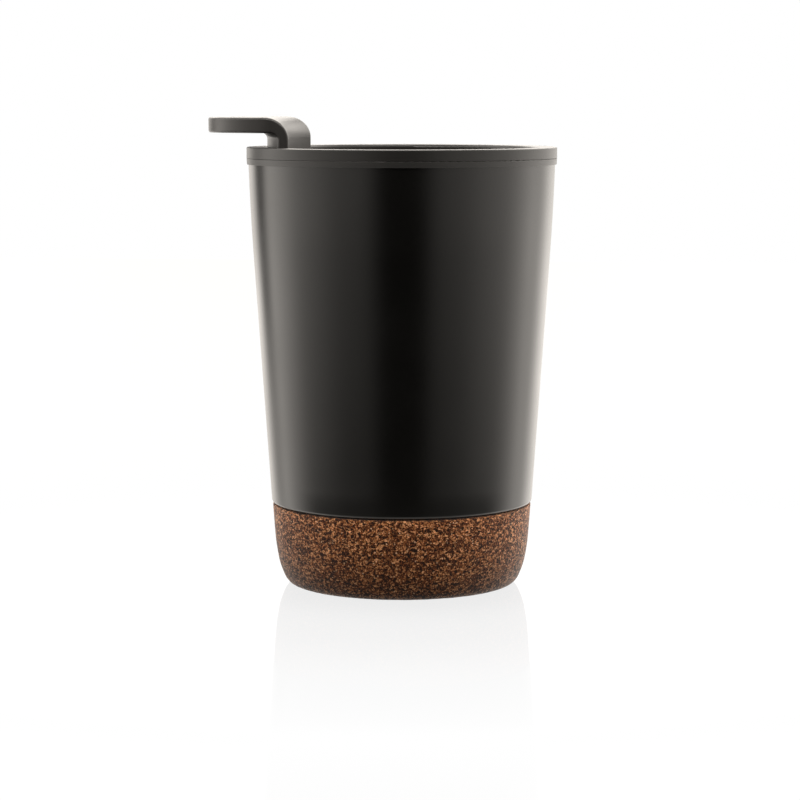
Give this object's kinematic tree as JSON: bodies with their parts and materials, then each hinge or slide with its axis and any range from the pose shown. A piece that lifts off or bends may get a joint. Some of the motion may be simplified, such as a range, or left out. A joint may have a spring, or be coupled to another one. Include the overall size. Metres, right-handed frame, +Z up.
{
  "type": "travel cup",
  "caption": "Double-wall tapered travel cup: black steel sleeve, plastic liner, rounded cork base, plug lid with a turning drink closure and an L-shaped tab over the rim.",
  "frame": {"origin": "centre of the base, on the surface that the cup stands on", "axes": "+Z up along the cup's axis, the tab over the rim points along -X, the drink hole is on the +X side"},
  "size_m": [0.0993, 0.088, 0.1331],
  "materials": {
    "coated_steel": "satin black coating",
    "black_plastic": "fine matte",
    "tab_plastic": "fine matte texture",
    "liner_plastic": "smooth",
    "cork": "dark agglomerated cork",
    "silicone": "matte",
    "stainless": "plain stainless"
  },
  "bodies": {
    "cup": {"cork_base": "cork", "foot_pad": "silicone", "base_carrier": "black_plastic", "outer_sleeve": "coated_steel", "inner_liner": "liner_plastic", "rim_seal_ring": "silicone", "base_seal_ring": "silicone", "carrier_screw_1": "stainless", "carrier_screw_2": "stainless", "carrier_screw_3": "stainless"},
    "lid": {"lid_body": "black_plastic", "lid_seal": "silicone", "drink_gasket": "silicone", "vent_gasket": "silicone", "pivot_o_ring": "silicone"},
    "closure": {"closure_disc": "tab_plastic", "spring_washer": "stainless", "pivot_washer": "stainless", "pivot_screw": "stainless"}
  },
  "joints": [
    {"name": "lid_lift", "type": "slide", "parent": "cup", "child": "lid", "axis": [0, 0, 1], "range_m": [0, 0.04]},
    {"name": "closure_turn", "type": "hinge", "parent": "lid", "child": "closure", "pos_m": [0, 0, 0.119], "axis": [0, 0, 1], "range_deg": [0, 90]}
  ]
}
